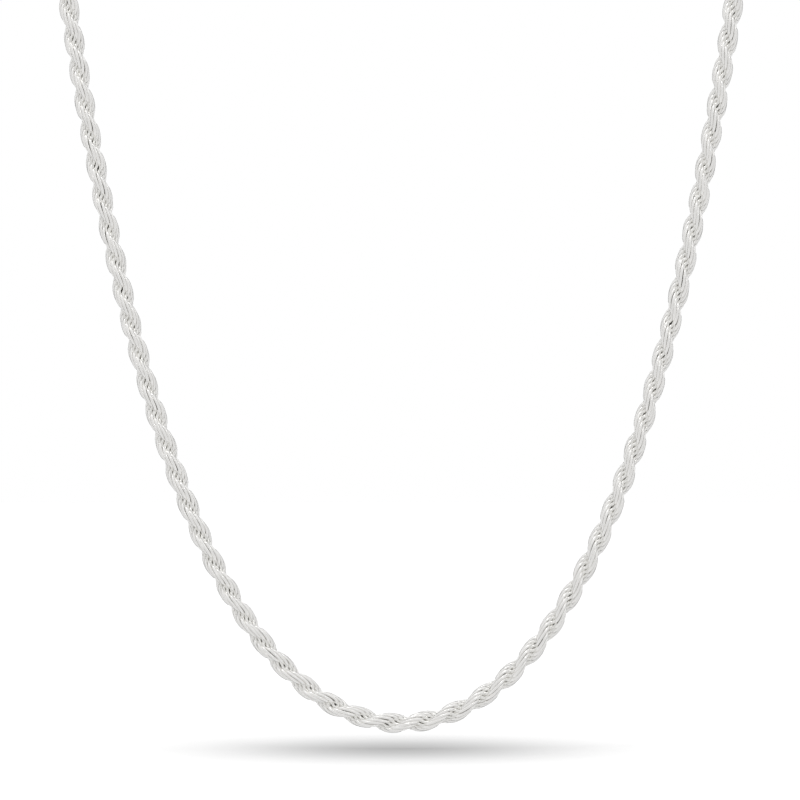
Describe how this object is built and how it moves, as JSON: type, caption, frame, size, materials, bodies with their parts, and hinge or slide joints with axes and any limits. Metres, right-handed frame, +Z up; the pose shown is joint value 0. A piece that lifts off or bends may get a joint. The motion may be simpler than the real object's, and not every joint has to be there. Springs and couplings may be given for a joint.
{
  "type": "chain necklace",
  "caption": "Twisted rope chain necklace in polished silver, hanging in a U below the neck and closed at the nape by a lobster clasp.",
  "frame": {"origin": "on the nape of the neck, at the middle of the clasp's skin side, where the closed necklace rests", "axes": "+Z up, -Y to the wearer's front, where the U hangs; +X to the wearer's left"},
  "size_m": [0.1108, 0.0782, 0.1587],
  "materials": {
    "silver_rope": "polished",
    "silver_findings": "polished"
  },
  "bodies": {
    "neck_rope_and_clasp": {"rope_neck_left_01": "silver_rope", "rope_neck_left_02": "silver_rope", "rope_neck_left_03": "silver_rope", "rope_neck_left_04": "silver_rope", "rope_neck_left_05": "silver_rope", "rope_neck_left_06": "silver_rope", "rope_neck_left_07": "silver_rope", "rope_neck_left_08": "silver_rope", "rope_neck_left_09": "silver_rope", "rope_neck_left_10": "silver_rope", "rope_neck_left_11": "silver_rope", "rope_neck_right_01": "silver_rope", "rope_neck_right_02": "silver_rope", "rope_neck_right_03": "silver_rope", "rope_neck_right_04": "silver_rope", "rope_neck_right_05": "silver_rope", "rope_neck_right_06": "silver_rope", "rope_neck_right_07": "silver_rope", "rope_neck_right_08": "silver_rope", "rope_neck_right_09": "silver_rope", "rope_neck_right_10": "silver_rope", "rope_neck_right_11": "silver_rope", "end_cap_left": "silver_findings", "end_cap_right": "silver_findings", "tail_jump_ring": "silver_findings", "catch_jump_ring": "silver_findings", "clasp_body": "silver_findings", "clasp_pin": "silver_findings", "clasp_spring": "silver_findings"},
    "front_left_01": {"rope_front_left_01": "silver_rope"},
    "front_left_02": {"rope_front_left_02": "silver_rope"},
    "front_left_03": {"rope_front_left_03": "silver_rope"},
    "front_left_04": {"rope_front_left_04": "silver_rope"},
    "front_left_05": {"rope_front_left_05": "silver_rope"},
    "front_left_06": {"rope_front_left_06": "silver_rope"},
    "front_left_07": {"rope_front_left_07": "silver_rope"},
    "front_left_08": {"rope_front_left_08": "silver_rope"},
    "front_left_09": {"rope_front_left_09": "silver_rope"},
    "front_left_10": {"rope_front_left_10": "silver_rope"},
    "front_left_11": {"rope_front_left_11": "silver_rope"},
    "front_left_12": {"rope_front_left_12": "silver_rope"},
    "front_left_13": {"rope_front_left_13": "silver_rope"},
    "front_right_01": {"rope_front_right_01": "silver_rope"},
    "front_right_02": {"rope_front_right_02": "silver_rope"},
    "front_right_03": {"rope_front_right_03": "silver_rope"},
    "front_right_04": {"rope_front_right_04": "silver_rope"},
    "front_right_05": {"rope_front_right_05": "silver_rope"},
    "front_right_06": {"rope_front_right_06": "silver_rope"},
    "front_right_07": {"rope_front_right_07": "silver_rope"},
    "front_right_08": {"rope_front_right_08": "silver_rope"},
    "front_right_09": {"rope_front_right_09": "silver_rope"},
    "front_right_10": {"rope_front_right_10": "silver_rope"},
    "front_right_11": {"rope_front_right_11": "silver_rope"},
    "front_right_12": {"rope_front_right_12": "silver_rope"},
    "front_right_13": {"rope_front_right_13": "silver_rope"},
    "lever": {"clasp_lever": "silver_findings"}
  },
  "joints": [
    {"name": "flex_left_01", "type": "hinge", "parent": "neck_rope_and_clasp", "child": "front_left_01", "pos_m": [-0.05225, -0.07257, -0.04], "axis": [1, 0, 0], "range_deg": [-18, 18]},
    {"name": "flex_left_02", "type": "hinge", "parent": "front_left_01", "child": "front_left_02", "pos_m": [-0.05063, -0.07257, -0.04997], "axis": [1, 0, 0], "range_deg": [-18, 18]},
    {"name": "flex_left_03", "type": "hinge", "parent": "front_left_02", "child": "front_left_03", "pos_m": [-0.04889, -0.07257, -0.05992], "axis": [1, 0, 0], "range_deg": [-18, 18]},
    {"name": "flex_left_04", "type": "hinge", "parent": "front_left_03", "child": "front_left_04", "pos_m": [-0.04698, -0.07257, -0.06984], "axis": [1, 0, 0], "range_deg": [-18, 18]},
    {"name": "flex_left_05", "type": "hinge", "parent": "front_left_04", "child": "front_left_05", "pos_m": [-0.04487, -0.07257, -0.07971], "axis": [1, 0, 0], "range_deg": [-18, 18]},
    {"name": "flex_left_06", "type": "hinge", "parent": "front_left_05", "child": "front_left_06", "pos_m": [-0.04254, -0.07257, -0.08954], "axis": [1, 0, 0], "range_deg": [-17, 17]},
    {"name": "flex_left_07", "type": "hinge", "parent": "front_left_06", "child": "front_left_07", "pos_m": [-0.03991, -0.07257, -0.09929], "axis": [1, 0, 0], "range_deg": [-17, 17]},
    {"name": "flex_left_08", "type": "hinge", "parent": "front_left_07", "child": "front_left_08", "pos_m": [-0.03691, -0.07257, -0.10893], "axis": [1, 0, 0], "range_deg": [-17, 17]},
    {"name": "flex_left_09", "type": "hinge", "parent": "front_left_08", "child": "front_left_09", "pos_m": [-0.03342, -0.07257, -0.11841], "axis": [1, 0, 0], "range_deg": [-17, 17]},
    {"name": "flex_left_10", "type": "hinge", "parent": "front_left_09", "child": "front_left_10", "pos_m": [-0.02927, -0.07257, -0.12762], "axis": [1, 0, 0], "range_deg": [-16, 16]},
    {"name": "flex_left_11", "type": "hinge", "parent": "front_left_10", "child": "front_left_11", "pos_m": [-0.02421, -0.07257, -0.13635], "axis": [1, 0, 0], "range_deg": [-15, 15]},
    {"name": "flex_left_12", "type": "hinge", "parent": "front_left_11", "child": "front_left_12", "pos_m": [-0.01784, -0.07257, -0.14417], "axis": [1, 0, 0], "range_deg": [-13, 13]},
    {"name": "flex_left_13", "type": "hinge", "parent": "front_left_12", "child": "front_left_13", "pos_m": [-0.00973, -0.07257, -0.15011], "axis": [1, 0, 0], "range_deg": [-6, 6]},
    {"name": "flex_right_01", "type": "hinge", "parent": "neck_rope_and_clasp", "child": "front_right_01", "pos_m": [0.05225, -0.07257, -0.04], "axis": [1, 0, 0], "range_deg": [-18, 18]},
    {"name": "flex_right_02", "type": "hinge", "parent": "front_right_01", "child": "front_right_02", "pos_m": [0.05063, -0.07257, -0.04997], "axis": [1, 0, 0], "range_deg": [-18, 18]},
    {"name": "flex_right_03", "type": "hinge", "parent": "front_right_02", "child": "front_right_03", "pos_m": [0.04889, -0.07257, -0.05992], "axis": [1, 0, 0], "range_deg": [-18, 18]},
    {"name": "flex_right_04", "type": "hinge", "parent": "front_right_03", "child": "front_right_04", "pos_m": [0.04698, -0.07257, -0.06984], "axis": [1, 0, 0], "range_deg": [-18, 18]},
    {"name": "flex_right_05", "type": "hinge", "parent": "front_right_04", "child": "front_right_05", "pos_m": [0.04487, -0.07257, -0.07971], "axis": [1, 0, 0], "range_deg": [-18, 18]},
    {"name": "flex_right_06", "type": "hinge", "parent": "front_right_05", "child": "front_right_06", "pos_m": [0.04254, -0.07257, -0.08954], "axis": [1, 0, 0], "range_deg": [-17, 17]},
    {"name": "flex_right_07", "type": "hinge", "parent": "front_right_06", "child": "front_right_07", "pos_m": [0.03991, -0.07257, -0.09929], "axis": [1, 0, 0], "range_deg": [-17, 17]},
    {"name": "flex_right_08", "type": "hinge", "parent": "front_right_07", "child": "front_right_08", "pos_m": [0.03691, -0.07257, -0.10893], "axis": [1, 0, 0], "range_deg": [-17, 17]},
    {"name": "flex_right_09", "type": "hinge", "parent": "front_right_08", "child": "front_right_09", "pos_m": [0.03342, -0.07257, -0.11841], "axis": [1, 0, 0], "range_deg": [-17, 17]},
    {"name": "flex_right_10", "type": "hinge", "parent": "front_right_09", "child": "front_right_10", "pos_m": [0.02927, -0.07257, -0.12762], "axis": [1, 0, 0], "range_deg": [-16, 16]},
    {"name": "flex_right_11", "type": "hinge", "parent": "front_right_10", "child": "front_right_11", "pos_m": [0.02421, -0.07257, -0.13635], "axis": [1, 0, 0], "range_deg": [-15, 15]},
    {"name": "flex_right_12", "type": "hinge", "parent": "front_right_11", "child": "front_right_12", "pos_m": [0.01784, -0.07257, -0.14417], "axis": [1, 0, 0], "range_deg": [-13, 13]},
    {"name": "flex_right_13", "type": "hinge", "parent": "front_right_12", "child": "front_right_13", "pos_m": [0.00973, -0.07257, -0.15011], "axis": [1, 0, 0], "range_deg": [-6, 6]},
    {"name": "clasp_lever_pivot", "type": "hinge", "parent": "neck_rope_and_clasp", "child": "lever", "pos_m": [-0.00155, 0.00145, 0], "axis": [0, -1, 0], "range_deg": [0, 20], "stiffness_Nm_per_rad": 0.015, "springref_deg": -11.46, "deforming": ["clasp_spring"]}
  ],
  "couplings": [
    {"joint": "flex_right_01", "follows": "flex_left_01", "ratio": 1},
    {"joint": "flex_right_02", "follows": "flex_left_02", "ratio": 1},
    {"joint": "flex_right_03", "follows": "flex_left_03", "ratio": 1},
    {"joint": "flex_right_04", "follows": "flex_left_04", "ratio": 1},
    {"joint": "flex_right_05", "follows": "flex_left_05", "ratio": 1},
    {"joint": "flex_right_06", "follows": "flex_left_06", "ratio": 1},
    {"joint": "flex_right_07", "follows": "flex_left_07", "ratio": 1},
    {"joint": "flex_right_08", "follows": "flex_left_08", "ratio": 1},
    {"joint": "flex_right_09", "follows": "flex_left_09", "ratio": 1},
    {"joint": "flex_right_10", "follows": "flex_left_10", "ratio": 1},
    {"joint": "flex_right_11", "follows": "flex_left_11", "ratio": 1},
    {"joint": "flex_right_12", "follows": "flex_left_12", "ratio": 1},
    {"joint": "flex_right_13", "follows": "flex_left_13", "ratio": 1}
  ]
}
